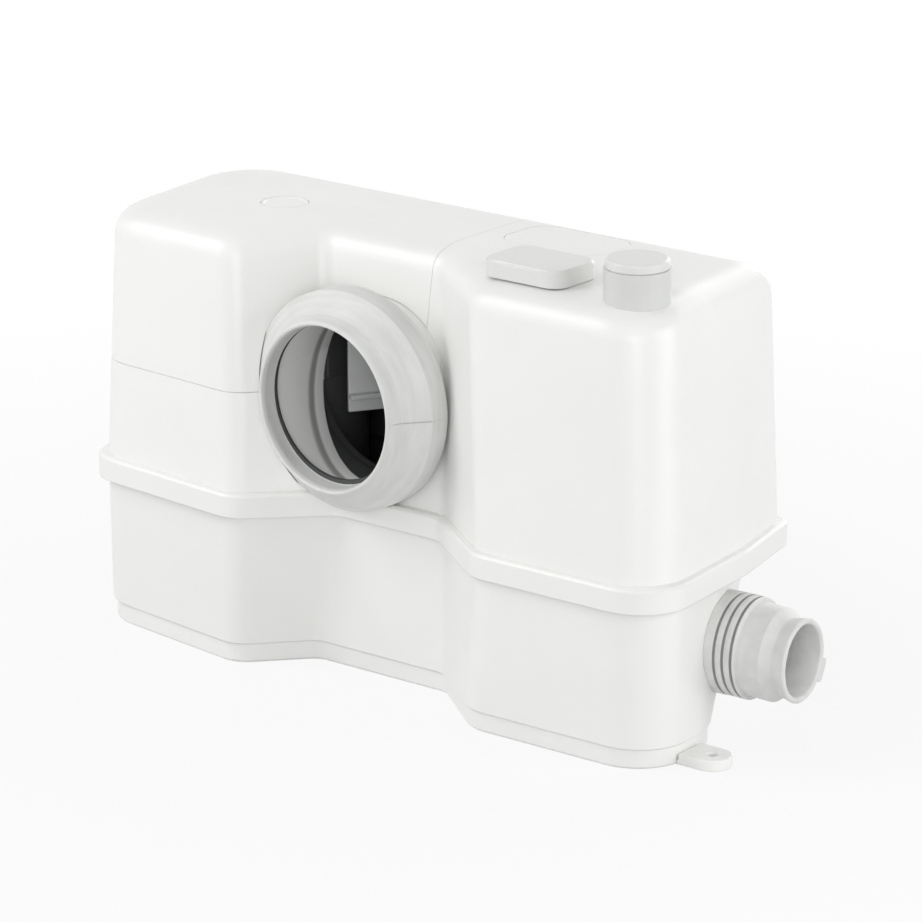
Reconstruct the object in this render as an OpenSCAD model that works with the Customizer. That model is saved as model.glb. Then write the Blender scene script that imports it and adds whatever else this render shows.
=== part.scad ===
// Macerator toilet pump: a moulded tank that stands behind a toilet, with a rubber collar for the
// toilet outlet, a side inlet, a motor compartment and a cutter pump that lifts the waste away.
// Millimetres, Z up, front towards -Y. The origin is on the floor, under the inlet axis, at mid depth.

/* [Tank] */
// Depth over the rim
tank_depth = 176; // [170:1:186]
// Rim from the inlet axis to the left end
tank_left = 213; // [208:1:225]
// Rim from the inlet axis to the right end
tank_right = 262; // [258:1:275]
// Flat top above the floor
tank_height = 275; // [272:1:285]
// Recessed front face behind mid depth
recess_y = 45; // [44:0.5:46]
// Shell wall
wall = 3.2; // [2.8:0.1:3.6]
// Tank floor
floor_t = 4; // [3.5:0.1:5]
// Height of the plinth at the bottom edge
plinth_h = 12; // [9:0.5:15]
// Set-in of the plinth
plinth_step = 2; // [1:0.1:3]
// Underside of the rim band
rim_z = 100; // [96:0.5:102]
// Height of the rim band
rim_h = 15; // [14:0.5:17]
// Overhang of the rim band
rim_out = 5; // [4.6:0.1:6]
// Skirt of the rim band
skirt_t = 2.5; // [2:0.1:2.8]
// Thickness of the lower flange
flange_t = 5.5; // [4:0.1:6]
// Compressed thickness of the rim seal
seal_t = 2.5; // [2:0.1:3]

/* [Motor compartment] */
// Height of the horizontal cover seam
seam_z = 177; // [175:0.5:178]
// Position of the cover seam across the top
seam_x = 38; // [36:0.5:42]
// Open seam round the motor cover
seam_gap = 0.3; // [0.2:0.1:1]
// Roof to the top of the inlet chamber
chamber_drop = 32; // [29:0.5:34]
// Left wall of the inlet chamber
chamber_left = 57; // [56.5:0.1:58]
// Front wall of the inlet chamber behind the axis
chamber_front = -13; // [-13.5:0.1:-12]
// Back wall of the inlet chamber from the back of the rim
chamber_room = 12; // [11:0.5:14]
// Posts inside the motor cover
post_d = 10; // [8:0.5:12]
// Round plug in the cover over the motor shaft
plug_d = 30; // [26:0.5:34]
// Thickness of the plug
plug_t = 2; // [1.6:0.1:2.2]
// Depth of the dish in the plug
plug_dish = 0.8; // [0.4:0.1:1.2]

/* [Toilet inlet] */
// Height of the inlet axis
inlet_z = 180; // [179:0.5:181]
// Radius of the collar's bore for the toilet outlet
inlet_r = 51; // [50:0.5:52]
// Front of the collar's mouth
mouth_y = -75; // [-78:0.5:-73]
// Outer radius of the collar's back band
collar_r = 70; // [69:0.5:71.5]
// Width of the collar's back band
collar_band = 15; // [14:0.5:16]
// Back face of the collar
collar_back = -42.5; // [-43.5:0.1:-42.3]
// Outer radius of the tank spigot under the collar
spigot_r = 59; // [58:0.5:60]
// Wall of the tank spigot
spigot_t = 4; // [3:0.1:5]
// Front end of the tank spigot
spigot_y = -56; // [-58:0.5:-54]
// Room round the collar in the tank wall
niche_gap = 0.6; // [0.5:0.1:1.5]
// Width of the collar's rolled mouth
lip_w = 4; // [3:0.1:5]
// Thickness of the splash baffle
baffle_t = 3; // [2.5:0.1:4]
// Length of the splash baffle
baffle_l = 60; // [58:1:62]
// Lower edge of the splash baffle under the inlet axis
baffle_drop = 29; // [27:0.5:31]

/* [Side inlet] */
// Height of the side inlet axis
side_z = 60; // [58:0.5:62]
// Depth position of the side inlet axis
side_y = 7; // [4:0.5:10]
// Mouth of the sleeve beyond the right end of the rim
side_out = 36; // [34:0.5:38]
// Turn of the side inlet, square to the slanted wall
side_turn = 6.5; // [5:0.5:8]
// Bore of the sleeve
side_bore = 42; // [40:0.5:43]
// Diameter of the big end of the sleeve
side_od = 62; // [61:0.5:64]
// Diameter of the middle step of the sleeve
side_mid = 57; // [55:0.5:58]
// Diameter of the mouth flange
side_flange = 53.5; // [52:0.5:55]
// Outer diameter of the tank spigot in the sleeve
side_spigot = 50; // [49:0.5:51]
// Depth of the grooves between the ribs
rib_cut = 2.6; // [2:0.1:3]
// Pitch of the ribs
rib_pitch = 5.8; // [5.4:0.1:6]
// First rib behind the mouth of the sleeve
rib_back = 54; // [53:0.5:55]

/* [Top fittings] */
// Length of the filter cap
cap_l = 60; // [56:1:64]
// Width of the filter cap
cap_w = 43; // [40:1:46]
// Height of the filter cap above the roof
cap_h = 11; // [9:0.5:13]
// Filter cap centre from the inlet axis
cap_x = 129; // [127:0.5:131]
// Filter cap centre from mid depth
cap_y = -28; // [-30:0.5:-26]
// Diameter of the closed top stub
stub_d = 40.5; // [39:0.5:42]
// Height of the stub under its lid
stub_h = 19; // [17:0.5:22]
// Height of the stub lid
lid_h = 6; // [5:0.5:8]
// Stub centre from the inlet axis
stub_x = 204; // [202:0.5:206]
// Stub centre from mid depth
stub_y = -32; // [-34:0.5:-30]
// Left edge of the outlet hatch
hatch_x = 53; // [51:0.5:55]
// Length of the outlet hatch
hatch_l = 76; // [74:0.5:78]
// Fit of the outlet hatch at its closed edges
hatch_fit = 0.1; // [0.1:0.05:0.3]

/* [Floor brackets] */
// Thickness of a bracket
foot_t = 7; // [6:0.5:8]
// Width of a bracket
foot_w = 24; // [22:0.5:26]
// Bracket hole
foot_hole = 7; // [6:0.1:8]
// Hole of the right bracket beyond the right end of the rim
foot_right_out = 7; // [6:0.5:8]
// Depth position of the right bracket
foot_right_y = -40; // [-42:0.5:-38]
// Hole of the left bracket beyond the left end of the rim
foot_left_out = 9; // [8:0.5:10]
// Depth position of the left bracket
foot_left_y = 10; // [5:0.5:15]
// Bracket hole to the side of the tank
foot_reach = 17; // [16:0.5:18]
// Length of the tongue under the tank
tongue_l = 26; // [24:0.5:28]
// Thickness of the tongue
tongue_t = 3; // [2.5:0.1:3.5]
// Clearance of the tongue in its pocket
tongue_gap = 0.3; // [0.2:0.05:0.5]

/* [Motor] */
// Motor axis from the inlet axis
motor_x = -107; // [-108:0.5:-106]
// Motor axis from the back of the rim
motor_back = 74; // [73:0.5:75]
// Outer diameter of the motor can
can_d = 92; // [90:0.5:93]
// Wall of the motor can
can_t = 2; // [1.6:0.1:2.4]
// Underside of the motor well
well_z = 108; // [106:0.5:109]
// Clearance round the can in the well
well_gap = 3; // [2.5:0.1:3.5]
// Roof to the top of the motor can
can_drop = 43.8; // [42:0.2:46]
// Clearance round the stator stack in the can
stator_gap = 2; // [1.5:0.1:2.5]
// Depth of the stator stack round the rotor
stator_t = 19; // [18:0.5:20]
// Room for windings and bearings at both ends of the stack
end_room = 62; // [60:1:64]
// Air gap round the rotor
air_gap = 0.5; // [0.3:0.05:0.7]
// Shaft diameter
shaft_d = 12; // [11.5:0.5:12]
// Outer diameter of the bearings
bearing_d = 32; // [31:0.5:33]
// Width of the bearings
bearing_w = 10; // [9:0.5:11]
// Running clearance on the shaft
run_gap = 0.05; // [0.03:0.01:0.08]

/* [Pump] */
// Outer diameter of the pump casing
casing_d = 104; // [100:1:108]
// Underside of the pump casing
casing_z = 46; // [44:0.5:48]
// Top of the pump casing
casing_top = 88; // [86:0.5:90]
// Wall of the pump casing
casing_t = 4; // [3.5:0.1:4.5]
// Impeller diameter
impeller_d = 76; // [72:1:80]
// Outer diameter of the fixed cutter ring
cutter_d = 66; // [64:0.5:68]
// Bore of the fixed cutter ring
cutter_bore = 56; // [55:0.5:57]
// Height of the fixed cutter ring
cutter_h = 28; // [26:0.5:30]
// Clearance of the cutter blade in its ring
cutter_gap = 1; // [0.6:0.1:1.5]
// Diameter of the casing bolts
bolt_d = 5; // [4:0.5:6]

/* [Discharge] */
// Outer diameter of the discharge pipe
pipe_d = 34; // [33:0.5:35]
// Wall of the discharge pipe
pipe_t = 3; // [2.5:0.1:3.5]
// Valve axis from the inlet axis
valve_x = 91; // [90:0.5:92]
// Valve axis from the back of the rim
valve_back = 38; // [37:0.5:39]
// Roof to the underside of the valve body
valve_drop = 89; // [87:0.5:91]
// Height of the valve body
valve_h = 50; // [49:0.5:52]
// Outer diameter of the valve body
valve_d = 48; // [47:0.5:49]
// Thickness of the valve flap
flap_t = 3; // [2.5:0.1:3.5]
// Hinge pin diameter
pin_d = 4; // [3.5:0.1:4.5]
// Clearance of the flap on its pin
pin_gap = 0.08; // [0.06:0.01:0.1]

/* [Control] */
// Capacitor diameter
capacitor_d = 30; // [28:0.5:32]
// Capacitor axis from the front of the rim
capacitor_front = 66; // [64:0.5:68]
// Roof to the top of the capacitor
capacitor_drop = 38; // [34:1:42]
// Width of the capacitor's clip
clip_h = 14; // [12:0.5:16]
// Length of the control box
box_l = 70; // [66:1:74]
// Depth of the control box
box_w = 50; // [46:1:52]
// Height of the control box
box_h = 22; // [20:0.5:23]
// Wall of the control box
box_t = 2; // [1.6:0.1:2.4]
// Diameter of the pressure switch
switch_d = 36; // [34:0.5:38]
// Pressure switch axis from the back of the rim
switch_back = 40; // [39:0.5:41]
// Height of the pressure switch
switch_h = 20; // [18:0.5:22]
// Outer diameter of the level tube
tube_d = 14; // [13:0.5:15]
// Wall of the level tube
tube_t = 2; // [1.8:0.1:2.4]
// Travel of the switch plunger
plunger_travel = 1.5; // [1:0.1:2]
// Clearance of the plunger in its guide
plunger_gap = 0.1; // [0.06:0.01:0.1]

/* [Hidden] */
$fn = 64;
steps = 6;
wall_steps = 4;
hd = tank_depth / 2;
rim_top = rim_z + rim_h;
seal_z = rim_z + 1 + flange_t;
cover_z = seal_z + seal_t;
crest_z = tank_height - 17;
deck_t = wall;
chamber_z = tank_height - chamber_drop;
chamber_back = hd - chamber_room;
motor_y = hd - motor_back;
valve_y = hd - valve_back;
valve_z = tank_height - valve_drop;
radii = [32, 32, 20, 14, 18, 28, 32, 60, 10];
even = [1, 1, 1, 1, 1, 1, 1, 1, 1];
soft = [0.6, 1, 1, 1, 1, 1, 0.8, 0.8, 0.4];
rim_pts = [
    [-tank_left, hd],
    [-tank_left + 14, -hd + 10],
    [-64, -hd - 4.5],
    [-16, -recess_y],
    [64, -recess_y],
    [124, -hd],
    [tank_right, -hd],
    [tank_right - 12, 20],
    [tank_right - 28, hd]
];
floor_pts = [
    [-tank_left + 6, hd - 8],
    [-tank_left + 12, -hd + 27],
    [-72, -hd + 8],
    [-36, -recess_y + 5],
    [66, -recess_y + 5],
    [118, -hd + 7],
    [tank_right - 8, -hd + 8],
    [tank_right - 12, -18],
    [tank_right - 84, hd - 8]
];
crest_pts = [
    [-tank_left + 5, hd - 4],
    [-tank_left + 21, -hd + 21],
    [-80, -hd + 16],
    [-47, -recess_y + 27],
    [44, -recess_y + 27],
    [108, -hd + 20],
    [tank_right - 19, -hd + 19],
    [tank_right - 31, 10],
    [tank_right - 39, hd - 4]
];
lip_r = inlet_r + lip_w;
neck_r = lip_r + 1.5;
band_y = collar_band - collar_back;
neck_y = -mouth_y - 6;
niche_y = -collar_back - 0.6;
niche_turn = tan(atan2(collar_r - neck_r, neck_y - band_y) / 2);
can_r = can_d / 2;
well_r = can_r + well_gap;
can_z = well_z + deck_t;
can_h = tank_height - can_drop - can_z;
stack_h = can_h - end_room;
stator_d = can_d - 2 * can_t - 2 * stator_gap;
stator_bore = stator_d - 2 * stator_t;
fan_d = can_d - 18;
fan_h = 12;
stack_z = can_z + 32;
rotor_r = stator_bore / 2 - air_gap;
cover_in = tank_height - wall;
cutter_z = casing_z - cutter_h;
foot_pocket = tongue_t + tongue_gap;
pad_h = foot_pocket + 4;
pipe_r = pipe_d / 2;
pipe_bore = pipe_d - 2 * pipe_t;
elbow = 5;
pipe_z = (casing_z + casing_top) / 2;
valve_bore = pipe_bore;
seat_z = valve_z + 14;
hinge_y = valve_y + 14.5;
hinge_z = seat_z + 4.4;
flange_h = 6;
hatch_gap = 5.8;
sleeve_h = tank_height - wall - hatch_gap - valve_z - valve_h;
end_z = can_z + can_h;
hub_d = bearing_d + 8;
plate_t = 3.4;
plate_z = casing_z + plate_t;
foot_right = tank_right + foot_right_out;
foot_left = -tank_left - foot_left_out;
foot_right_in = foot_right - foot_reach;
foot_left_in = foot_left + foot_reach;
stub_z = tank_height + stub_h;
cap_gap = 0.2;
seat_h = 3;
frame_t = 1.6;
frame_top = seat_h + frame_t;
hatch_y = hd - 40;
hatch_w = 46;
side_root = tank_right - 50;
side_pivot = tank_right - 12;
side_x = tank_right + side_out;
rib_x = side_x - rib_back;
sleeve_x = rib_x - 1;
capacitor_x = -178;
capacitor_y = -hd + capacitor_front;
capacitor_h = tank_height - capacitor_drop - seam_z;
switch_x = -180;
switch_y = hd - switch_back;
screw_xs = [-150, -20];
posts = [
    [-190, hd - 16, seam_z],
    [-164, -hd + 38, seam_z],
    [-95, (motor_y - can_r - hd + 16) / 2, seam_z],
    [-70, hd - 22, seam_z],
    [26, hd - 22, chamber_z]
];
gland_x = -120;
gland_z = seam_z + 40;
gland_d = 14;
seal_d = 30;
bolt_circle = can_d - 26;
ears = [0:90:270];
ear_d = 15;
ear_h = 20;
spout_l = 78;
socket_t = 3.5;
box_x = -14;
box_y = chamber_front + 35;

function cross2(a, b) = a[0] * b[1] - a[1] * b[0];
function unit(v) = v / norm(v);
function left_of(v) = [-v[1], v[0]];
function blend(a, b, t) = a + (b - a) * t;

// Moves every edge of an outline inwards by d times its own weight.
function inset_pts(p, d, w) = let (n = len(p)) [
    for (i = [0:n - 1])
        let (
            j = (i + n - 1) % n,
            u = unit(p[i] - p[j]),
            v = unit(p[(i + 1) % n] - p[i]),
            q = p[i] + left_of(u) * d * w[j],
            s = p[i] + left_of(v) * d * w[i]
        ) q + u * (cross2(s - q, v) / cross2(u, v))
];

// The arc that rounds the corner b between a and c.
function corner(a, b, c, r) = let (
    u = unit(b - a),
    v = unit(c - b),
    turn = atan2(cross2(u, v), u * v),
    start = b - u * r * tan(abs(turn) / 2),
    o = start + left_of(u) * r * sign(turn),
    f = start - o
) [
    for (k = [0:steps])
        let (g = turn * k / steps)
            o + [f[0] * cos(g) - f[1] * sin(g), f[0] * sin(g) + f[1] * cos(g)]
];
function outline(p) = let (n = len(p)) [
    for (i = [0:n - 1]) for (q = corner(p[(i + n - 1) % n], p[i], p[(i + 1) % n], radii[i])) q
];
function ring(p, z) = [for (q = outline(p)) [q[0], q[1], z]];
function back_y(z) = blend(hd - rim_out, hd - 4, (z - rim_top) / (crest_z - rim_top));
function wall_pts(z) = blend(
    inset_pts(rim_pts, rim_out, even), crest_pts, (z - rim_top) / (crest_z - rim_top)
);

// Wall of the lower half under the rim, cut away at the back right corner.
base_pts = concat(
    [for (i = [0:6]) inset_pts(rim_pts, rim_out, even)[i]],
    [[tank_right - 17, 8], [tank_right - 54, hd - rim_out]]
);

// A closed skin through a list of rings. Each end is capped by two faces, cut from the recess to the back.
module loft(rings) {
    n = len(rings[0]);
    m = len(rings);
    cut = 4 * (steps + 1) - 1;
    last = (m - 1) * n;
    polyhedron(
        points = [for (r = rings) for (q = r) q],
        faces = concat(
            [[for (i = [0:cut]) i], concat([n - 1, 0], [for (i = [cut:n - 2]) i])],
            [
                for (k = [0:m - 2], i = [0:n - 1])
                    let (j = (i + 1) % n) each [
                        [k * n + i, (k + 1) * n + i, (k + 1) * n + j],
                        [k * n + i, (k + 1) * n + j, k * n + j]
                    ]
            ],
            [
                concat([last], [for (i = [cut:-1:1]) last + i]),
                concat([for (i = [n - 1:-1:cut]) last + i], [last])
            ]
        )
    );
}

// Roof rings from the crest to the flat top, moved in and down by a wall.
function roof_rings(t) = [
    for (s = [[0, 17], [1.2, 11.5], [3.4, 7.6], [7, 4.6], [12.5, 2.3], [20, 0.8], [31, 0]])
        ring(inset_pts(crest_pts, s[0] + t, soft), tank_height - s[1] - t)
];
function flip(list) = [for (i = [len(list) - 1:-1:0]) list[i]];

// Wall rings between the rim and the crest, moved in by a wall.
function side_rings(t) = [
    for (k = [1:wall_steps - 1])
        let (z = blend(rim_top, crest_z, k / wall_steps)) ring(inset_pts(wall_pts(z), t, even), z)
];

module upper_shell() {
    loft(concat(
        flip(roof_rings(wall)),
        flip(side_rings(wall)),
        [
            ring(inset_pts(wall_pts(rim_top), wall, even), cover_z),
            ring(inset_pts(rim_pts, skirt_t, even), cover_z),
            ring(inset_pts(rim_pts, skirt_t, even), rim_z),
            ring(rim_pts, rim_z),
            ring(rim_pts, rim_top - 1.6),
            ring(inset_pts(rim_pts, 1.6, even), rim_top),
            ring(wall_pts(rim_top), rim_top + 0.3)
        ],
        side_rings(0),
        roof_rings(0)
    ));
}
module upper_solid(t) {
    loft(concat([ring(inset_pts(wall_pts(rim_top), t, even), rim_top)], side_rings(t), roof_rings(t)));
}
module motor_zone(g) {
    translate([-tank_left - 20, -hd - 20, seam_z - g])
        cube([tank_left + 20 + seam_x + g, tank_depth + 40, tank_height]);
}

// Room for the collar: its outline grown by g, with the floor moved back by t.
module niche(g, t) {
    at_inlet() rotate_extrude($fn = 96) polygon([
        [0, niche_y - t], [collar_r + g, niche_y - t], [collar_r + g, band_y + niche_turn * g],
        [neck_r + g, neck_y + niche_turn * g], [neck_r + g, tank_depth], [0, tank_depth]
    ]);
}
module niche_lining() {
    intersection() {
        upper_solid(0);
        niche(niche_gap + wall, wall);
    }
}
module at_inlet() {
    translate([0, 0, inlet_z]) rotate([90, 0, 0]) children();
}
module at_side() {
    translate([side_pivot, side_y, side_z]) rotate(side_turn) rotate([0, 90, 0])
        translate([0, 0, -side_pivot]) children();
}
module at_motor() {
    translate([motor_x, motor_y, 0]) children();
}
module tube(d, t, h) {
    difference() {
        cylinder(d = d, h = h);
        translate([0, 0, -1]) cylinder(d = d - 2 * t, h = h + 2);
    }
}
module slab(l, w, h, r) {
    linear_extrude(h) rounded(l, w, r);
}
module rounded(l, w, r) {
    square([l - 2 * r, w], center = true);
    square([l, w - 2 * r], center = true);
    for (x = [-1, 1], y = [-1, 1]) translate([x * (l / 2 - r), y * (w / 2 - r)]) circle(r);
}

// Lower half of the tank, with the plinth, the flange and the side inlet spigot.
module tank_base() {
    color("white") difference() {
        union() {
            difference() {
                union() {
                    loft([
                        ring(inset_pts(floor_pts, 1.2, even), 0),
                        ring(floor_pts, 1.2),
                        ring(floor_pts, plinth_h),
                        ring(inset_pts(floor_pts, -plinth_step, even), plinth_h + 1.5),
                        ring(base_pts, rim_z + 1),
                        ring(inset_pts(rim_pts, skirt_t + 0.4, even), rim_z + 1),
                        ring(inset_pts(rim_pts, skirt_t + 0.4, even), seal_z),
                        ring(inset_pts(base_pts, wall, even), seal_z),
                        ring(inset_pts(floor_pts, wall + 1, even), floor_t)
                    ]);
                    at_side() translate([0, 0, side_root]) cylinder(d = side_od + 2, h = sleeve_x - side_root);
                }
                at_side() translate([0, 0, sleeve_x]) cylinder(d = side_od + 1, h = 40);
            }
            at_side() translate([0, 0, side_root]) cylinder(d = side_spigot, h = side_x - 22 - side_root);
            translate([foot_right_in - tongue_l / 2 - 7, foot_right_y, floor_t - 1])
                slab(tongue_l + 10, foot_w + 8, pad_h - floor_t + 1, 3);
            translate([foot_left_in + tongue_l / 2 + 7, foot_left_y, floor_t - 1])
                slab(tongue_l + 10, foot_w + 8, pad_h - floor_t + 1, 3);
        }
        at_side() translate([0, 0, side_root - 12]) cylinder(d = side_bore, h = 90);
        translate([foot_right_in - tongue_l - tongue_gap, foot_right_y - foot_w / 2 - tongue_gap, -1])
            cube([tongue_l + 40, foot_w + 2 * tongue_gap, 1 + foot_pocket]);
        translate([foot_left_in - 40, foot_left_y - foot_w / 2 - tongue_gap, -1])
            cube([tongue_l + 40 + tongue_gap, foot_w + 2 * tongue_gap, 1 + foot_pocket]);
    }
}

// Upper half of the tank, with the motor deck and well, the inlet chamber and its spigot.
module tank_cover() {
    color("white") difference() {
        union() {
            difference() {
                union() {
                    upper_shell();
                    niche_lining();
                }
                motor_zone(0);
            }
            translate([0, 0, seam_z - deck_t]) linear_extrude(deck_t) intersection() {
                polygon(outline(inset_pts(wall_pts(seam_z), 1, even)));
                translate([-tank_left - 20, -hd - 20]) square([tank_left + 20 + seam_x + 1, tank_depth + 40]);
            }
            intersection() {
                upper_solid(1);
                translate([seam_x, -hd - 20, seam_z - deck_t - 2]) cube([wall, tank_depth + 40, tank_height]);
            }
            translate([-chamber_left, chamber_front, seam_z - deck_t])
                cube([chamber_left + seam_x + 1, chamber_back - chamber_front, chamber_z - seam_z + deck_t]);
            at_motor() translate([0, 0, well_z]) cylinder(r = well_r + deck_t, h = seam_z - well_z - 1);
            at_inlet() translate([0, 0, -chamber_front - 1])
                cylinder(r = spigot_r, h = chamber_front + 1 - spigot_y);
            translate([stub_x, stub_y, crest_z + 6]) cylinder(d = stub_d, h = stub_z - crest_z - 6);
            translate([cap_x, cap_y, tank_height - wall - 3]) slab(cap_l - 8, cap_w - 8, wall + 3 + seat_h, 7);
            translate([hatch_x + hatch_l / 2, hatch_y, tank_height - wall - 3])
                slab(hatch_l + 10, hatch_w + 2, 4, 12);
            for (x = screw_xs) translate([x - 7, back_y(seam_z) - wall - 13, seam_z - 1]) cube([14, 12.6, 17]);
        }
        translate([-chamber_left + wall, chamber_front + wall, seam_z - deck_t - 3])
            cube([
                chamber_left + seam_x + 2,
                chamber_back - chamber_front - 2 * wall,
                chamber_z - wall - seam_z + deck_t + 3
            ]);
        at_motor() translate([0, 0, can_z]) cylinder(r = well_r, h = tank_height);
        at_motor() translate([0, 0, well_z - 5]) cylinder(d = seal_d + 4, h = 20);
        at_motor() for (a = [45:90:315])
            rotate(a) translate([bolt_circle / 2, 0, well_z - 5]) cylinder(d = bolt_d, h = 20);
        at_inlet() translate([0, 0, -chamber_front - wall - 2])
            cylinder(r = spigot_r - spigot_t, h = chamber_front + wall + 2 - mouth_y);
        difference() {
            niche(niche_gap, 0);
            at_inlet() cylinder(r = spigot_r, h = -spigot_y);
        }
        at_inlet() translate([0, 0, -chamber_front + 2])
            cylinder(r = spigot_r - spigot_t / 2, h = 5);
        translate([stub_x, stub_y, crest_z]) cylinder(d = stub_d - 2 * wall, h = tank_height);
        translate([cap_x, cap_y, tank_height - wall - 10]) slab(cap_l - 18, cap_w - 18, 40, 5);
        translate([hatch_x + hatch_l / 2, hatch_y, tank_height - wall])
            slab(hatch_l + 2 * seam_gap, hatch_w + 2 * seam_gap, wall + 5, 14 + seam_gap);
        translate([hatch_x + hatch_l / 2, hatch_y, tank_height - wall - 10])
            slab(hatch_l - 8, hatch_w - 8, 40, 10);
        translate([switch_x, switch_y, seam_z - 10]) cylinder(d = tube_d, h = 20);
        for (x = screw_xs) translate([x, back_y(seam_z) - wall - 20, seam_z + 8])
            rotate([-90, 0, 0]) cylinder(d = bolt_d - 1, h = 40);
    }
}

// Seal between the two tank halves.
module rim_seal() {
    color("dimgray") translate([0, 0, seal_z]) linear_extrude(seal_t) difference() {
        polygon(outline(inset_pts(rim_pts, skirt_t + 0.6, even)));
        polygon(outline(inset_pts(rim_pts, rim_out + wall - 0.2, even)));
    }
}

// Hood over the motor, standing on posts, open round the inlet collar.
module motor_cover() {
    color("white") difference() {
        union() {
            difference() {
                intersection() {
                    union() {
                        upper_shell();
                        niche_lining();
                    }
                    translate([0, 0, seam_gap]) motor_zone(-seam_gap);
                }
                at_inlet() cylinder(r = spigot_r + seam_gap, h = tank_depth);
                niche(niche_gap, 0);
            }
            intersection() {
                upper_solid(1);
                for (q = posts) translate(q) cylinder(d = post_d, h = cover_in + 1 - q[2]);
            }
        }
        at_motor() translate([0, 0, tank_height - plug_t]) cylinder(d = plug_d + 0.8, h = 10);
        at_motor() translate([0, 0, cover_in - 5]) cylinder(d = plug_d - 4, h = 20);
        for (x = screw_xs) translate([x, back_y(seam_z) - wall - 2, seam_z + 8])
            rotate([-90, 0, 0]) cylinder(d = bolt_d - 1, h = 40);
        translate([gland_x, back_y(gland_z) - wall - 4, gland_z])
            rotate([-90, 0, 0]) cylinder(d = gland_d, h = 40);
    }
}

// Two screws that hold the hood to the deck at the back.
module motor_cover_screws() {
    color("silver") for (x = screw_xs) translate([x, back_y(seam_z + 8), seam_z + 8]) rotate([-90, 0, 0]) {
        translate([0, 0, -wall - 12]) cylinder(d = bolt_d - 1, h = wall + 13);
        difference() {
            translate([0, 0, 0.1]) cylinder(d1 = 9, d2 = 7.6, h = 2.6);
            translate([-3, -0.6, 1.4]) cube([6, 1.2, 4]);
            translate([-0.6, -3, 1.4]) cube([1.2, 6, 4]);
        }
    }
}

// Plain round plug over the end of the motor shaft.
module shaft_plug() {
    color("white") at_motor() translate([0, 0, tank_height - plug_t]) difference() {
        cylinder(d = plug_d, h = plug_t);
        translate([0, 0, plug_t - plug_dish]) cylinder(d1 = plug_d - 5, d2 = plug_d - 3, h = plug_dish + 0.01);
    }
}

// Rubber collar for the toilet outlet: back band, cone, rolled mouth and an inner sealing lip.
module inlet_collar() {
    b = -collar_back;
    f = -mouth_y;
    s = -spigot_y;
    color("gainsboro") at_inlet() rotate_extrude($fn = 96) polygon([
        [spigot_r, b], [collar_r, b], [collar_r, band_y], [collar_r - 1.6, band_y + 1],
        [neck_r, neck_y], [lip_r, f - 3], [lip_r - 1, f - 1], [lip_r - lip_w / 2, f],
        [inlet_r + 0.8, f - 1], [inlet_r, f - 3], [inlet_r, s + 7], [inlet_r - 2, s + 5.6],
        [inlet_r - 2, s + 4], [spigot_r - spigot_t, s + 2.5], [spigot_r - spigot_t, s], [spigot_r, s]
    ]);
}

// Plate that hangs in the inlet chamber and turns the inflow towards the pump.
module splash_baffle() {
    z = inlet_z - baffle_drop;
    color("gray") translate([-chamber_left + 11, chamber_front + 15, 0]) rotate(58) {
        translate([0, -baffle_t / 2, z]) cube([baffle_l, baffle_t, chamber_z - wall - z]);
        translate([0, -baffle_t / 2 - 5, z + 9]) cube([baffle_l, 5.5, 3]);
        translate([0, -8, chamber_z - wall - 4]) cube([baffle_l, 16, 4]);
    }
}

// Rubber sleeve of the side inlet, ribbed at the tank, with a pull tab at its mouth.
module side_sleeve() {
    m = side_x;
    o = side_od / 2;
    r = side_spigot / 2;
    rib_pts = [[0, -0.4], [0, rib_pitch - 2.4], [-rib_cut, rib_pitch - 2], [-rib_cut, rib_pitch - 0.4]];
    color("gainsboro") union() {
        at_side() rotate_extrude($fn = 96) polygon(concat(
            [[r, sleeve_x]],
            [
                for (k = [0:2], q = rib_pts)
                    [o + q[0], (k == 0 && q[1] < 0) ? sleeve_x : rib_x + k * rib_pitch + q[1]]
            ],
            [
                [o, rib_x + 3 * rib_pitch], [o, m - 24.6], [o - 1, m - 23.6], [side_mid / 2, m - 23.6],
                [side_mid / 2, m - 11.6], [side_mid / 2 - 1.4, m - 10.4], [side_flange / 2 - 2.4, m - 9.6],
                [side_flange / 2 - 2.4, m - 4.4], [side_flange / 2, m - 3.6], [side_flange / 2, m - 1],
                [side_flange / 2 - 1, m], [side_bore / 2 + 1, m], [side_bore / 2, m - 1],
                [side_bore / 2, m - 19], [side_bore / 2 + 1, m - 22], [r, m - 22]
            ]
        ));
        at_side() rotate(-28) translate([0, side_flange / 2, m - 3.6]) slab(13, 7, 2.6, 3);
    }
}

// Lid of the vent filter, which lifts off.
module filter_cap() {
    color("whitesmoke") translate([cap_x, cap_y, tank_height]) difference() {
        translate([0, 0, cap_gap]) {
            slab(cap_l, cap_w, cap_h - 1.2, 11);
            translate([0, 0, cap_h - 1.2]) slab(cap_l - 2.4, cap_w - 2.4, 1.2, 9.8);
        }
        translate([0, 0, -1]) slab(cap_l - 5, cap_w - 5, 1 + frame_top + cap_gap, 8.5);
        translate([0, 0, -1]) slab(cap_l - 16, cap_w - 16, cap_h - 1, 5);
    }
}

// Tray that hangs in the roof and holds the filter.
module filter_frame() {
    l = cap_l - 18.6;
    w = cap_w - 18.6;
    color("lightgray") translate([cap_x, cap_y, tank_height + seat_h]) difference() {
        union() {
            slab(cap_l - 10, cap_w - 10, frame_t, 6);
            translate([0, 0, -20]) slab(l, w, 20.5, 5);
        }
        translate([0, 0, -18]) slab(l - 4, w - 4, 30, 3.4);
        for (x = [-14:7:14]) translate([x - 1.5, -w / 2 + 5, -25]) cube([3, w - 10, 20]);
    }
}

// Block of active carbon.
module carbon_filter() {
    color([0.15, 0.15, 0.16]) translate([cap_x, cap_y, tank_height - 15])
        slab(cap_l - 23.4, cap_w - 23.4, 18, 3);
}

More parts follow.
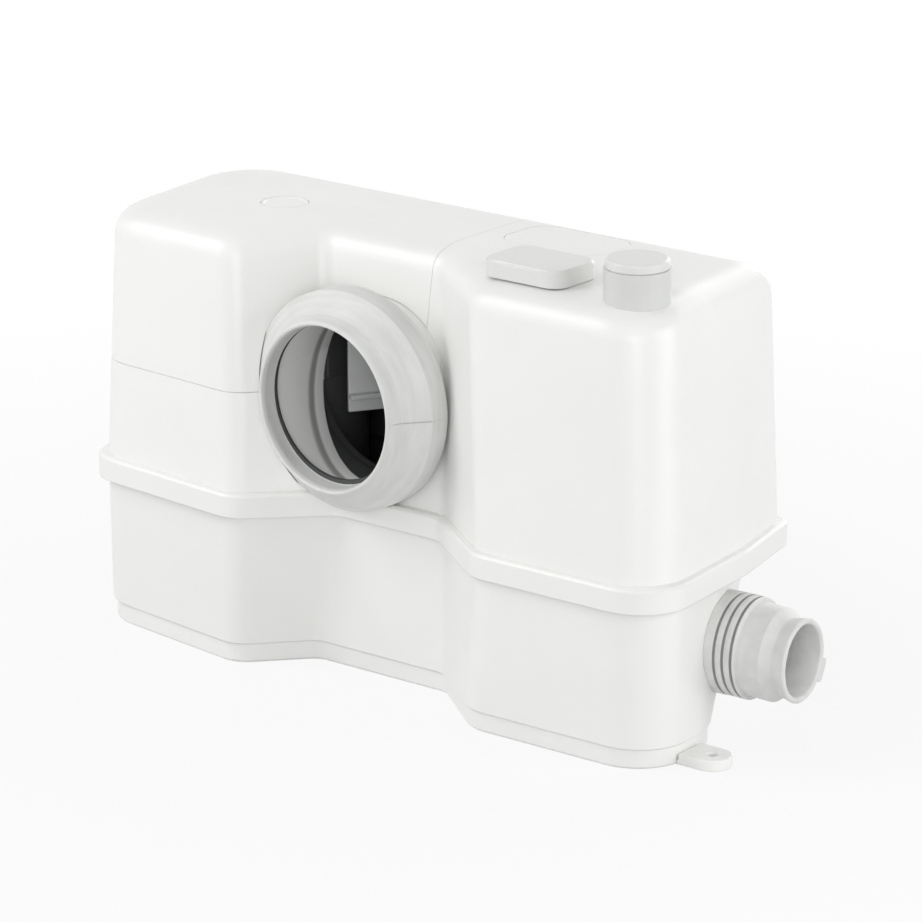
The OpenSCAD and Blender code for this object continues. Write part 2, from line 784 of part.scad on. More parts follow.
// Lid that closes the stub on the roof.
module stub_lid() {
    d = stub_d - 2;
    color("lightgray") translate([stub_x, stub_y, stub_z]) {
        translate([0, 0, -4]) cylinder(d = stub_d - 2 * wall - 0.2, h = 4.5);
        cylinder(d = d, h = lid_h - 1.4);
        translate([0, 0, lid_h - 1.4]) cylinder(d1 = d, d2 = d - 2.8, h = 1.4);
    }
}

// Flush panel over the discharge connection, with an open seam at its left edge.
module outlet_hatch() {
    g = seam_gap - hatch_fit;
    color("white") translate([hatch_x + (hatch_l + g) / 2, hatch_y, tank_height - wall])
        slab(hatch_l + g, hatch_w + 2 * g, wall, 14 + g);
}

// Floor bracket: a tab with a hole and a tongue that fits under the tank.
module foot_bracket() {
    color("gainsboro") difference() {
        union() {
            translate([-foot_reach + 0.4, -foot_w / 2, 0]) cube([foot_reach - 0.4, foot_w, foot_t]);
            cylinder(d = foot_w, h = foot_t);
            translate([-foot_reach - tongue_l, -foot_w / 2, 0]) cube([tongue_l + 2, foot_w, tongue_t]);
        }
        translate([0, 0, -1]) cylinder(d = foot_hole, h = foot_t + 2);
    }
}
module foot_bracket_right() {
    translate([foot_right, foot_right_y, 0]) foot_bracket();
}
module foot_bracket_left() {
    translate([foot_left, foot_left_y, 0]) rotate(180) foot_bracket();
}

// Gland of the mains lead in the back of the hood.
module cable_gland() {
    color([0.2, 0.2, 0.21]) translate([gland_x, back_y(gland_z), gland_z]) rotate([-90, 0, 0]) difference() {
        union() {
            translate([0, 0, -wall - 6]) cylinder(d = gland_d, h = wall + 8);
            translate([0, 0, 0.1]) cylinder(d = 22, h = 5, $fn = 6);
            translate([0, 0, 5]) cylinder(d1 = 18, d2 = 13, h = 5);
            translate([0, 0, -wall - 5]) cylinder(d = 21, h = 4.8, $fn = 6);
        }
        translate([0, 0, -20]) cylinder(d = 7.5, h = 40);
    }
}

// Motor: deep-drawn can between a bottom flange and a top end plate.
module motor_can() {
    color("lightsteelblue") at_motor() translate([0, 0, can_z + flange_h]) tube(can_d, can_t, can_h - flange_h);
}
module motor_flange() {
    color("silver") at_motor() translate([0, 0, can_z]) difference() {
        union() {
            cylinder(d = can_d, h = flange_h);
            cylinder(d = hub_d, h = flange_h + bearing_w);
        }
        translate([0, 0, flange_h]) cylinder(d = bearing_d, h = 40);
        translate([0, 0, -1]) cylinder(d = shaft_d + 2, h = 40);
        for (a = [45:90:315]) rotate(a) translate([bolt_circle / 2, 0, -1]) cylinder(d = bolt_d, h = 40);
    }
}
module motor_end_plate() {
    color("silver") at_motor() translate([0, 0, end_z]) difference() {
        union() {
            cylinder(d = can_d, h = 5);
            translate([0, 0, -bearing_w]) cylinder(d = hub_d, h = bearing_w + 1);
        }
        translate([0, 0, -20]) cylinder(d = bearing_d, h = 20);
        translate([0, 0, -20]) cylinder(d = shaft_d + 2, h = 40);
    }
}
module motor_bolts() {
    color("silver") at_motor() for (a = [45:90:315]) rotate(a) translate([bolt_circle / 2, 0, 0]) {
        translate([0, 0, well_z - 7]) cylinder(d = bolt_d, h = 7 + deck_t + flange_h);
        translate([0, 0, can_z + flange_h]) cylinder(d = 2 * bolt_d - 1, h = 4, $fn = 6);
    }
}
module stator_core() {
    color("dimgray") at_motor() translate([0, 0, stack_z]) difference() {
        cylinder(d = stator_d, h = stack_h);
        translate([0, 0, -1]) cylinder(d = stator_bore, h = stack_h + 2);
        for (a = [0:90:270]) rotate(a) translate([stator_d / 2, 0, -1]) cylinder(d = 6, h = stack_h + 2);
    }
    color("dimgray") at_motor() translate([0, 0, stack_z + 6]) intersection() {
        cylinder(r = can_r - can_t - 0.05, h = stack_h - 12);
        for (a = [45:90:315]) rotate(a) translate([stator_d / 2 - 1.6, -4, 0]) cube([10, 8, stack_h - 12]);
    }
}
module stator_windings() {
    color("peru") at_motor() for (z = [stack_z - 7.5, stack_z + stack_h + 7.5])
        translate([0, 0, z]) rotate_extrude() translate([stator_d / 2 - 9.5, 0]) rounded(13, 15, 4);
}
module rotor_core() {
    color("darkgray") at_motor() translate([0, 0, stack_z]) difference() {
        union() {
            cylinder(r = rotor_r, h = stack_h);
            translate([0, 0, -5]) cylinder(r = rotor_r - 2, h = stack_h + 10);
        }
        translate([0, 0, -9]) cylinder(d = shaft_d, h = stack_h + 20);
    }
}
module motor_shaft() {
    color("silver") at_motor() {
        translate([0, 0, cutter_z - 2]) cylinder(d = shaft_d, h = end_z + 24 - cutter_z + 2);
        translate([0, 0, end_z + 23]) cylinder(d1 = shaft_d, d2 = shaft_d - 3, h = 2);
    }
}
module bearing() {
    tube(bearing_d, (bearing_d - shaft_d) / 2 - run_gap, bearing_w);
}
module upper_bearing() {
    color("gray") at_motor() translate([0, 0, end_z - bearing_w]) bearing();
}
module lower_bearing() {
    color("gray") at_motor() translate([0, 0, can_z + flange_h]) bearing();
}
module cooling_fan() {
    color([0.2, 0.25, 0.3]) at_motor() translate([0, 0, end_z + 8]) difference() {
        union() {
            cylinder(d = shaft_d + 10, h = fan_h);
            cylinder(d = fan_d, h = 2);
            for (a = [0:40:320]) rotate(a) translate([9, -1, 0]) cube([fan_d / 2 - 10, 2, fan_h - 1]);
        }
        translate([0, 0, -1]) cylinder(d = shaft_d, h = 20);
    }
}
module shaft_seal() {
    color([0.25, 0.25, 0.25]) at_motor() translate([0, 0, well_z - 11])
        tube(seal_d, (seal_d - shaft_d) / 2 - run_gap, 11);
}

// Pump casing: a ring chamber with a tangential outlet, bolted under the motor well.
module casing_ears(z, h) {
    for (a = ears) rotate(a) translate([casing_d / 2 + 1, 0, z]) cylinder(d = ear_d, h = h);
}
module pump_casing() {
    color("slategray") at_motor() difference() {
        union() {
            translate([0, 0, plate_z]) cylinder(d = casing_d, h = casing_top - plate_z);
            translate([0, 0, casing_top - 1]) cylinder(d = seal_d + 14, h = well_z - casing_top + 1);
            translate([0, 0, well_z - 7]) cylinder(d = bolt_circle + 14, h = 7);
            casing_ears(plate_z, ear_h);
            translate([0, valve_y - motor_y, pipe_z]) rotate([0, 90, 0]) cylinder(d = pipe_d, h = spout_l);
        }
        translate([0, 0, plate_z - 1])
            cylinder(d = casing_d - 2 * casing_t, h = casing_top - casing_t - plate_z + 1);
        translate([0, 0, plate_z]) cylinder(d = shaft_d + 3, h = 100);
        translate([0, 0, well_z - 11]) cylinder(d = seal_d, h = 20);
        for (a = [45:90:315]) rotate(a) translate([bolt_circle / 2, 0, well_z - 20])
            cylinder(d = bolt_d, h = 40);
        for (a = ears) rotate(a) translate([casing_d / 2 + 2.6, 0, plate_z - 1]) cylinder(d = bolt_d, h = 18);
        translate([8, valve_y - motor_y, pipe_z]) rotate([0, 90, 0]) cylinder(d = pipe_bore, h = 100);
    }
}
module suction_plate() {
    color("slategray") at_motor() difference() {
        union() {
            translate([0, 0, casing_z]) cylinder(d = casing_d, h = plate_t);
            casing_ears(casing_z, plate_t);
        }
        translate([0, 0, casing_z - 1]) cylinder(d = cutter_bore - 14, h = plate_t + 2);
        for (a = ears) rotate(a) translate([casing_d / 2 + 2.6, 0, casing_z - 1]) cylinder(d = bolt_d, h = 18);
    }
}
module casing_bolts() {
    color("silver") at_motor() for (a = ears) rotate(a) translate([casing_d / 2 + 2.6, 0, 0]) {
        translate([0, 0, casing_z]) cylinder(d = bolt_d, h = plate_t + 16);
        translate([0, 0, casing_z - 4]) cylinder(d = 2 * bolt_d - 1, h = 4, $fn = 6);
    }
}
module impeller() {
    h = casing_top - casing_t - plate_z - 6;
    color("silver") at_motor() translate([0, 0, plate_z + 3]) difference() {
        union() {
            translate([0, 0, h - 4]) cylinder(d = impeller_d, h = 4);
            cylinder(d = shaft_d + 12, h = h);
            for (a = [0:72:288]) rotate(a) translate([8, 2, 0]) cube([impeller_d / 2 - 9, 4, h - 3]);
        }
        translate([0, 0, -1]) cylinder(d = shaft_d, h = 60);
    }
}

// Fixed cutter ring with windows, and the blade that turns in it.
module cutter_ring() {
    color("silver") at_motor() translate([0, 0, cutter_z]) difference() {
        cylinder(d = cutter_d, h = cutter_h);
        translate([0, 0, -1]) cylinder(d = cutter_bore, h = cutter_h + 2);
        for (a = [0:30:150]) rotate(a) translate([-cutter_d, -2.4, 5]) cube([2 * cutter_d, 4.8, cutter_h - 11]);
    }
}
module cutter_blade() {
    l = cutter_bore - 2 * cutter_gap;
    color("silver") at_motor() translate([0, 0, cutter_z + 8]) difference() {
        union() {
            cylinder(d = shaft_d + 8, h = 8);
            intersection() {
                cylinder(d = l, h = 8);
                for (a = [0, 90]) rotate(a) translate([-l / 2, -4, a / 30]) cube([l, 8, 4]);
            }
        }
        translate([0, 0, -1]) cylinder(d = shaft_d, h = 20);
    }
}
module blade_nut() {
    color("silver") at_motor() translate([0, 0, cutter_z]) difference() {
        cylinder(d = shaft_d + 9, h = 8, $fn = 6);
        translate([0, 0, -1]) cylinder(d = shaft_d, h = 20);
    }
}

// Discharge: pipe along the back of the tank, up to the non-return valve under the hatch.
module pipe_path(d, e) {
    x = motor_x + spout_l - 18;
    translate([x - e, valve_y, pipe_z]) rotate([0, 90, 0]) cylinder(d = d, h = valve_x - x + e);
    translate([valve_x, valve_y, pipe_z]) sphere(d = d + elbow);
    translate([valve_x, valve_y, pipe_z]) cylinder(d = d, h = valve_z - pipe_z + e);
}
module discharge_pipe() {
    color("gray") difference() {
        union() {
            pipe_path(pipe_d, 0);
            translate([motor_x + spout_l - 23, valve_y, pipe_z]) rotate([0, 90, 0])
                cylinder(d = pipe_d + 2 * socket_t, h = 26);
        }
        pipe_path(pipe_bore, 1);
        translate([motor_x + spout_l - 28, valve_y, pipe_z])
            rotate([0, 90, 0]) cylinder(d = pipe_d + 0.2, h = 28);
    }
}
module valve_body() {
    r = valve_d / 2;
    color("gray") translate([valve_x, valve_y, valve_z]) difference() {
        union() {
            cylinder(d = valve_d, h = valve_h);
            translate([0, 0, -10]) cylinder(d = pipe_d + 2 * socket_t, h = 11);
            translate([0, 0, valve_h - 1]) cylinder(d = pipe_d, h = sleeve_h - 6);
        }
        translate([0, 0, -11]) cylinder(d = pipe_d, h = 11);
        translate([0, 0, -1]) cylinder(d = valve_bore, h = 100);
        translate([0, 0, seat_z - valve_z]) cylinder(r = r - 3, h = valve_h - 4 - seat_z + valve_z);
        translate([-r + 0.5, hinge_y - valve_y, hinge_z - valve_z])
            rotate([0, 90, 0]) cylinder(d = pin_d, h = valve_d - 1);
    }
}
module valve_flap() {
    color([0.22, 0.22, 0.23]) translate([valve_x, hinge_y, hinge_z]) difference() {
        union() {
            intersection() {
                translate([0, valve_y - hinge_y, seat_z - hinge_z]) cylinder(d = valve_bore + 4, h = flap_t);
                translate([-30, -60, -20]) cube([60, 58, 40]);
            }
            translate([-5, 0, 0]) rotate([0, 90, 0]) cylinder(d = pin_d + 4, h = 10);
            translate([-5, -8, seat_z - hinge_z]) cube([10, 8, flap_t]);
        }
        translate([-20, 0, 0]) rotate([0, 90, 0]) cylinder(d = pin_d + 2 * pin_gap, h = 40);
    }
}
module valve_pin() {
    h = 2 * sqrt(pow(valve_d / 2 - 1.5, 2) - pow(hinge_y - valve_y, 2));
    color("silver") translate([valve_x - h / 2, hinge_y, hinge_z])
        rotate([0, 90, 0]) cylinder(d = pin_d, h = h);
}
module outlet_sleeve() {
    color([0.2, 0.2, 0.2]) translate([valve_x, valve_y, valve_z + valve_h]) tube(pipe_d + 6, 3, sleeve_h);
}
module outlet_clip() {
    color("silver") translate([valve_x, valve_y, valve_z + valve_h + 8]) {
        tube(pipe_d + 8, 1, 9);
        translate([pipe_d / 2 + 3.6, -5, 0]) cube([7, 10, 9]);
    }
}

// Control: run capacitor, electronics, and the pressure switch on its level tube.
module capacitor() {
    color("white") translate([capacitor_x, capacitor_y, seam_z]) {
        cylinder(d = capacitor_d, h = capacitor_h);
        for (x = [-5, 5]) translate([x - 3, -0.4, capacitor_h - 1]) cube([6, 0.8, 9]);
    }
}
module capacitor_clip() {
    color("silver") translate([capacitor_x, capacitor_y, seam_z + clip_h]) {
        tube(capacitor_d + 2.4, 1.2, clip_h);
        translate([-6, -capacitor_d / 2 - 2, -clip_h]) cube([12, 1.4, clip_h + 6]);
    }
}
module control_box() {
    color("lightgray") translate([box_x, box_y, chamber_z]) difference() {
        slab(box_l, box_w, box_h, 4);
        translate([0, 0, box_t]) slab(box_l - 2 * box_t, box_w - 2 * box_t, box_h, 2.4);
    }
}
module control_board() {
    color("seagreen") translate([box_x, box_y, chamber_z + box_t]) {
        for (x = [-1, 1], y = [-1, 1]) translate([x * (box_l / 2 - 7), y * (box_w / 2 - 7), 0])
            cylinder(d = 5, h = 4.5);
        translate([0, 0, 4]) slab(box_l - 2 * box_t - 1, box_w - 2 * box_t - 1, 1.6, 2);
        translate([-22, -12, 5.5]) cube([18, 15, 12]);
        translate([6, 4, 5.5]) cube([20, 12, 9]);
        translate([10, -12, 5.5]) cylinder(d = 10, h = 12);
    }
}
module pressure_switch() {
    color([0.85, 0.83, 0.76]) translate([switch_x, switch_y, seam_z]) difference() {
        union() {
            cylinder(d = switch_d, h = switch_h);
            translate([switch_d / 2 - 8, -9, 6]) cube([15, 18, switch_h - 6]);
        }
        translate([0, 0, -1]) cylinder(d = tube_d, h = 4);
        translate([0, 0, 2]) cylinder(d = tube_d - 2 * tube_t, h = 10);
        translate([0, 0, 6]) cylinder(d = switch_d - 6, h = switch_h - 10);
        cylinder(d = 6 + 2 * plunger_gap, h = 40);
    }
}
module switch_diaphragm() {
    color([0.2, 0.2, 0.2]) translate([switch_x, switch_y, seam_z + 6]) cylinder(d = switch_d - 6, h = 1.2);
}
module switch_plunger() {
    color("whitesmoke") translate([switch_x, switch_y, seam_z + 7.2]) {
        cylinder(d = 16, h = 2);
        cylinder(d = 6, h = switch_h - 6.5 + plunger_travel);
    }
}
module level_tube() {
    color("lightgray") translate([switch_x, switch_y, 22]) tube(tube_d, tube_t, seam_z + 3 - 22);
}

tank_base();
tank_cover();
rim_seal();
motor_cover();
motor_cover_screws();
shaft_plug();
inlet_collar();
splash_baffle();
side_sleeve();
filter_cap();
filter_frame();
carbon_filter();
stub_lid();
outlet_hatch();
foot_bracket_right();
foot_bracket_left();
cable_gland();
motor_can();
motor_end_plate();
motor_flange();
motor_bolts();
stator_core();
stator_windings();
rotor_core();
motor_shaft();
upper_bearing();
lower_bearing();
cooling_fan();
shaft_seal();
pump_casing();
suction_plate();
casing_bolts();
impeller();
cutter_ring();
cutter_blade();
blade_nut();
discharge_pipe();
valve_body();
valve_flap();
valve_pin();
outlet_sleeve();
outlet_clip();
capacitor();
capacitor_clip();
control_box();
control_board();
pressure_switch();
switch_diaphragm();
switch_plunger();
level_tube();
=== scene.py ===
# Looks of a macerator toilet pump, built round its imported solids.
# Metres, Z up, front towards -Y; the origin is on the floor, under the axis of the toilet inlet.
import math

import bmesh
import bpy
from mathutils import Matrix, Vector


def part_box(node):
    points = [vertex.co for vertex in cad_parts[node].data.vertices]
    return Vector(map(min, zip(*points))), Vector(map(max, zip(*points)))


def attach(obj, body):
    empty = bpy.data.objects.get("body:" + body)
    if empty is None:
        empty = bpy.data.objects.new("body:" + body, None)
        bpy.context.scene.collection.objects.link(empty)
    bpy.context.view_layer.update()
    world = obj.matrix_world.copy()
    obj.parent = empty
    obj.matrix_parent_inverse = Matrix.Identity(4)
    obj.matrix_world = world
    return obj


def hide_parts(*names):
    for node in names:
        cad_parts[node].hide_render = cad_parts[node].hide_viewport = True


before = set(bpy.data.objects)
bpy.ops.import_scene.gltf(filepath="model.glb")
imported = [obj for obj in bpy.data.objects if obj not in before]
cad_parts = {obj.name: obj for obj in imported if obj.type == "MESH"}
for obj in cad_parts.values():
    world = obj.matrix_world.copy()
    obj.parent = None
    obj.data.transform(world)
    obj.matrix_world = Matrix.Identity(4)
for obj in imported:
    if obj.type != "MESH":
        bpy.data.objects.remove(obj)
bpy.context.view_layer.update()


# Lower tank: the half that stands on the floor, injection moulded in natural polypropylene, with a
# set-in plinth and a flange under the rim. The upper half is clipped onto that flange.
def linear(code):
    """An sRGB hex colour as the linear colour that a shader takes."""
    parts = [int(code[i:i + 2], 16) / 255 for i in (1, 3, 5)]
    return [*(c / 12.92 if c <= 0.04045 else ((c + 0.055) / 1.055) ** 2.4 for c in parts), 1.0]


def add(tree, kind, given):
    """Adds a shader node: keys are settings or sockets, values are numbers or the sockets that feed them."""
    made = tree.nodes.new("ShaderNode" + kind)
    for key, value in given.items():
        if isinstance(key, str) and hasattr(made, key):
            setattr(made, key, value)
        elif isinstance(value, bpy.types.NodeSocket):
            tree.links.new(value, made.inputs[key])
        else:
            made.inputs[key].default_value = value
    return made


def finish_named(name):
    """A new material with an empty tree, and the place on the piece that its patterns follow."""
    made = bpy.data.materials.new(name)
    made.use_nodes = True
    made.node_tree.nodes.clear()
    return made, made.node_tree, add(made.node_tree, "TexCoord", {}).outputs["Object"]


def inside(tree, place, low, high):
    """1 at a point of the piece that lies in a box, 0 elsewhere."""
    low, high = Vector(low), Vector(high)
    off = add(tree, "VectorMath", {"operation": "SUBTRACT", 0: place, 1: (low + high) / 2})
    share = add(tree, "VectorMath", {"operation": "DIVIDE", 0: off.outputs[0], 1: (high - low) / 2})
    size = add(tree, "VectorMath", {"operation": "ABSOLUTE", 0: share.outputs[0]})
    apart = add(tree, "SeparateXYZ", {"Vector": size.outputs[0]})
    wider = add(tree, "Math", {"operation": "MAXIMUM", 0: apart.outputs["X"], 1: apart.outputs["Y"]})
    most = add(tree, "Math", {"operation": "MAXIMUM", 0: wider.outputs[0], 1: apart.outputs["Z"]})
    return add(tree, "Math", {"operation": "LESS_THAN", 0: most.outputs[0], 1: 1.0}).outputs[0]


# A Mix node's colour sockets share their names with its number sockets, so they go by their place.
mix_a, mix_b, mixed = 6, 7, 2
grain_height = 0.0003


def moulding(name, tint, cloud, rough, cloud_mm=60, peel=0.05, coat=0.0, hollow=None):
    """Moulded plastic: slow clouds of the flow, orange peel, and edges rounded by the tool. Real peel is
    too fine to show, so it is drawn coarser. A hollow is (low corner, high corner, colour) of a space
    whose walls are painted that colour as painted shade."""
    peel_mm, edge_mm, spread = 1.8, 0.9, 0.05
    made, tree, place = finish_named(name)
    clouds = add(tree, "TexNoise", {
        "Vector": place, "Scale": 1000 / cloud_mm, "Detail": 3.0, "Roughness": 0.55})
    colour = add(tree, "Mix", {
        "data_type": "RGBA", "Factor": clouds.outputs["Fac"], mix_a: linear(tint), mix_b: linear(cloud)})
    if hollow:
        low, high, shade_tint = hollow
        colour = add(tree, "Mix", {
            "data_type": "RGBA", "Factor": inside(tree, place, low, high),
            mix_a: colour.outputs[mixed], mix_b: linear(shade_tint)})
    grain = add(tree, "TexNoise", {
        "Vector": place, "Scale": 1000 / peel_mm, "Detail": 2.0, "Roughness": 0.5})
    dull = add(tree, "MapRange", {
        "Value": clouds.outputs["Fac"], "To Min": rough - spread, "To Max": rough + spread})
    edges = add(tree, "Bevel", {"samples": 6, "Radius": edge_mm / 1000})
    skin_bump = add(tree, "Bump", {
        "Strength": peel, "Distance": grain_height, "Height": grain.outputs["Fac"],
        "Normal": edges.outputs[0]})
    skin = add(tree, "BsdfPrincipled", {
        "Base Color": colour.outputs[mixed], "Roughness": dull.outputs[0], "IOR": 1.49,
        "Normal": skin_bump.outputs[0], "Coat Weight": coat, "Coat Roughness": 0.16})
    add(tree, "OutputMaterial", {"Surface": skin.outputs[0]})
    return made


# Natural polypropylene is milky and half matt, with a faint skin gloss from the polished tool. Inside the
# tank the same wall is painted almost black between these corners, as painted shade for the dark hollow.
painted_shade_space = ((-0.120, -0.0108, 0.030), (0.060, 0.0805, 0.246), "#434444")
tank_polypropylene = moulding(
    "tank_polypropylene", "#F0F0EE", "#EAEAE8", 0.36, coat=0.08, hollow=painted_shade_space)


def piece(name, bm, body, slot, finishes, *nodes):
    """Turns a bmesh into a finished piece that rides on a body and stands for its solids."""
    mesh = bpy.data.meshes.new(name)
    bm.to_mesh(mesh)
    bm.free()
    made = bpy.data.objects.new(name, mesh)
    bpy.context.scene.collection.objects.link(made)
    for finish in finishes:
        mesh.materials.append(finish)
    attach(made, body)
    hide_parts(*nodes)
    return made


def soften(bm, fold):
    """Shades a mesh smooth, but for edges that fold by more than an angle in degrees."""
    for f in bm.faces:
        f.smooth = True
    for e in bm.edges:
        e.smooth = e.calc_face_angle(0) < math.radians(fold)


weld_gap = 2e-6


def welded(node, edge_mm=0.0):
    """A bmesh of a solid's skin, welded and smooth, with its sharp edges rounded where a width is given."""
    flat_fold, sharp_fold = 0.1, 32
    bm = bmesh.new()
    bm.from_mesh(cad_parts[node].data)
    bmesh.ops.remove_doubles(bm, verts=bm.verts, dist=weld_gap)
    bmesh.ops.dissolve_limit(bm, angle_limit=math.radians(flat_fold), verts=bm.verts, edges=bm.edges)
    if edge_mm:
        sharp = [e for e in bm.edges if e.calc_face_angle(0) > math.radians(sharp_fold)]
        bmesh.ops.bevel(bm, geom=sharp, offset=edge_mm / 1000, offset_type="OFFSET", affect="EDGES",
                        segments=3, profile=0.5, material=-1, clamp_overlap=True)
    soften(bm, sharp_fold)
    return bm


def weigh(made):
    """Flat faces keep their own normal, so only the rounded strips between them shade as curves."""
    even = made.modifiers.new("weighted_normals", "WEIGHTED_NORMAL")
    even.keep_sharp = True
    return made


weigh(piece("lower_tank", welded("tank_base"), "unit", "white_polypropylene",
            [tank_polypropylene], "tank_base"))


# Floor brackets: two moulded tabs whose tongues slide under the tank, each with a hole for a floor screw.
# They are of the same plastic in a paler, drier moulding, and stand a hair off the wall.
bracket_polypropylene = moulding("bracket_polypropylene", "#F6F6F4", "#EFEFED", 0.42, cloud_mm=18)
for side in ("right", "left"):
    node = "foot_bracket_" + side
    weigh(piece(node + "_tab", welded(node, edge_mm=0.7), "unit", "pale_grey_plastic",
                [bracket_polypropylene], node))


# Rim seal: a cord of black EPDM, extruded and joined into a ring. It lies in the flange, where the two
# tank halves squeeze it flat, so only its section would show.
def rubber(name, tint, dust, rough, grain_mm=1.2, bump=0.12, rings=(1.0, 1.0, 1.0)):
    """Moulded rubber: dull, with a fine grain and a little dust in it, drawn out into rings by a stretch.
    The grain is drawn coarser than it is, so that it shows."""
    speck_mm = 9.0
    made, tree, place = finish_named(name)
    drawn = add(tree, "Mapping", {"Vector": place, "Scale": rings})
    specks = add(tree, "TexNoise", {"Vector": drawn.outputs[0], "Scale": 1000 / speck_mm, "Detail": 4.0})
    colour = add(tree, "Mix", {
        "data_type": "RGBA", "Factor": specks.outputs["Fac"], mix_a: linear(tint), mix_b: linear(dust)})
    grain = add(tree, "TexNoise", {"Vector": place, "Scale": 1000 / grain_mm, "Detail": 3.0})
    skin_bump = add(tree, "Bump", {
        "Strength": bump, "Distance": grain_height, "Height": grain.outputs["Fac"]})
    skin = add(tree, "BsdfPrincipled", {
        "Base Color": colour.outputs[mixed], "Roughness": rough, "IOR": 1.52,
        "Normal": skin_bump.outputs[0]})
    add(tree, "OutputMaterial", {"Surface": skin.outputs[0]})
    return made


def paint(finish, *nodes):
    """Gives carried-over solids their finish."""
    for node in nodes:
        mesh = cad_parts[node].data
        mesh.materials.clear()
        mesh.materials.append(finish)


# EPDM is a soft, dusty black without a clear reflection.
black_epdm = rubber("black_epdm", "#1B1B1C", "#2A2A2B", 0.62)
paint(black_epdm, "rim_seal")


# Upper tank: the other half, moulded in the same polypropylene and clipped over the seal, with a rim band,
# the inlet spigot, the stub and the seat of the vent filter. Its bore is plain near the mouth, with a ring
# of painted shade further in, and the chamber behind it is painted dark as painted shade.
inlet_z = 0.180
bore_r, bore_end = 0.0575, -0.0085
# The rings in the bore lean to the right and down. An entry is (mm along that lean, colour), front to back;
# the dark ones are painted shade.
bore_lean = Vector((0.354, 1.0, -0.190))
bore_painted_shade = [
    (-90.0, "#EFF0EE"), (-60.0, "#F1F2F0"), (-46.5, "#EEEFED"), (-43.5, "#A5A6A4"), (-40.5, "#9D9E9C"),
    (-38.2, "#F0F1EF"), (-31.0, "#E6E7E5"), (-30.2, "#3A3B3B"), (20.0, "#383939")]


def shaded_by_depth(name, along, rough):
    """Moulded plastic whose colour changes with depth behind the mouth, with a slightly ragged edge; its
    dark colours are painted shade.
    """
    speck_mm, ragged, spread = 14.0, 0.0004, 0.06
    made, tree, place = finish_named(name)
    centred = add(tree, "VectorMath", {"operation": "SUBTRACT", 0: place, 1: (0, 0, inlet_z)})
    along_lean = add(tree, "VectorMath", {"operation": "DOT_PRODUCT", 0: centred.outputs[0], 1: bore_lean})
    specks = add(tree, "TexNoise", {"Vector": place, "Scale": 1000 / speck_mm, "Detail": 3.0})
    nudge = add(tree, "MapRange", {"Value": specks.outputs["Fac"], "To Min": -ragged, "To Max": ragged})
    depth = add(tree, "Math", {"operation": "ADD", 0: along_lean.outputs["Value"], 1: nudge.outputs[0]})
    first, last = along[0][0], along[-1][0]
    share = add(tree, "MapRange", {
        "Value": depth.outputs[0], "From Min": first / 1000, "From Max": last / 1000})
    ramp = add(tree, "ValToRGB", {"Fac": share.outputs[0]})
    while len(ramp.color_ramp.elements) < len(along):
        ramp.color_ramp.elements.new(0.5)
    for stop, (at, tint) in zip(ramp.color_ramp.elements, along):
        stop.position = (at - first) / (last - first)
        stop.color = linear(tint)
    dull = add(tree, "MapRange", {
        "Value": specks.outputs["Fac"], "To Min": rough - spread, "To Max": rough + spread})
    skin = add(tree, "BsdfPrincipled", {
        "Base Color": ramp.outputs[0], "Roughness": dull.outputs[0], "IOR": 1.49})
    add(tree, "OutputMaterial", {"Surface": skin.outputs[0]})
    return made


# The bore is matt, and painted darker further in as painted shade. The stub looks greyer and smoother than
# the roof.
bore_shade_polypropylene = shaded_by_depth("bore_shade_polypropylene", bore_painted_shade, 0.5)
stub_polypropylene = moulding("stub_polypropylene", "#D6D7D5", "#CFD0CE", 0.3, cloud_mm=25)
stub_low, stub_high = (Vector(c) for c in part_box("stub_lid"))
stub_axis = (stub_low + stub_high) / 2
stub_r, stub_root = 0.0215, 0.2756
upper = welded("tank_cover")
for f in upper.faces:
    at = f.calc_center_median()
    if all(math.hypot(v.co.x, v.co.z - inlet_z) < bore_r and v.co.y < bore_end for v in f.verts):
        f.material_index = 1
    elif math.hypot(at.x - stub_axis.x, at.y - stub_axis.y) < stub_r and at.z > stub_root:
        f.material_index = 2
weigh(piece("upper_tank", upper, "unit", "white_polypropylene",
            [tank_polypropylene, bore_shade_polypropylene, stub_polypropylene], "tank_cover"))


# Splash baffle: a plate with a ledge that hangs in the chamber behind the inlet and turns the inflow down.
# It is moulded in grey polypropylene, duller than the tank, with a flange fixed under the chamber's ceiling.
grey_polypropylene = moulding("grey_polypropylene", "#DDDFDE", "#D3D5D4", 0.45, cloud_mm=20)
weigh(piece("baffle_plate", welded("splash_baffle", edge_mm=0.5), "unit", "grey_polypropylene",
            [grey_polypropylene], "splash_baffle"))


# Motor: a drawn steel can between cast aluminium ends, with a laminated stator, copper windings, a rotor
# on a ground stainless shaft, two bearings and a nylon fan. All of it is under the hood.
def metal(name, tint, mark, rough, line_mm, stretch=(1.0, 1.0, 1.0)):
    """Bare metal with the marks of its making, drawn out along one way. Real ones are finer: these are drawn
    coarse enough to show."""
    mark_height, smoother, duller = 0.0001, 0.08, 0.1
    made, tree, place = finish_named(name)
    drawn = add(tree, "Mapping", {"Vector": place, "Scale": stretch})
    lines = add(tree, "TexNoise", {"Vector": drawn.outputs[0], "Scale": 1000 / line_mm, "Detail": 4.0})
    colour = add(tree, "Mix", {
        "data_type": "RGBA", "Factor": lines.outputs["Fac"], mix_a: linear(tint), mix_b: linear(mark)})
    dull = add(tree, "MapRange", {
        "Value": lines.outputs["Fac"], "To Min": rough - smoother, "To Max": rough + duller})
    skin_bump = add(tree, "Bump", {
        "Strength": 0.1, "Distance": mark_height, "Height": lines.outputs["Fac"]})
    skin = add(tree, "BsdfPrincipled", {
        "Base Color": colour.outputs[mixed], "Metallic": 1.0, "Roughness": dull.outputs[0],
        "Normal": skin_bump.outputs[0]})
    add(tree, "OutputMaterial", {"Surface": skin.outputs[0]})
    return made


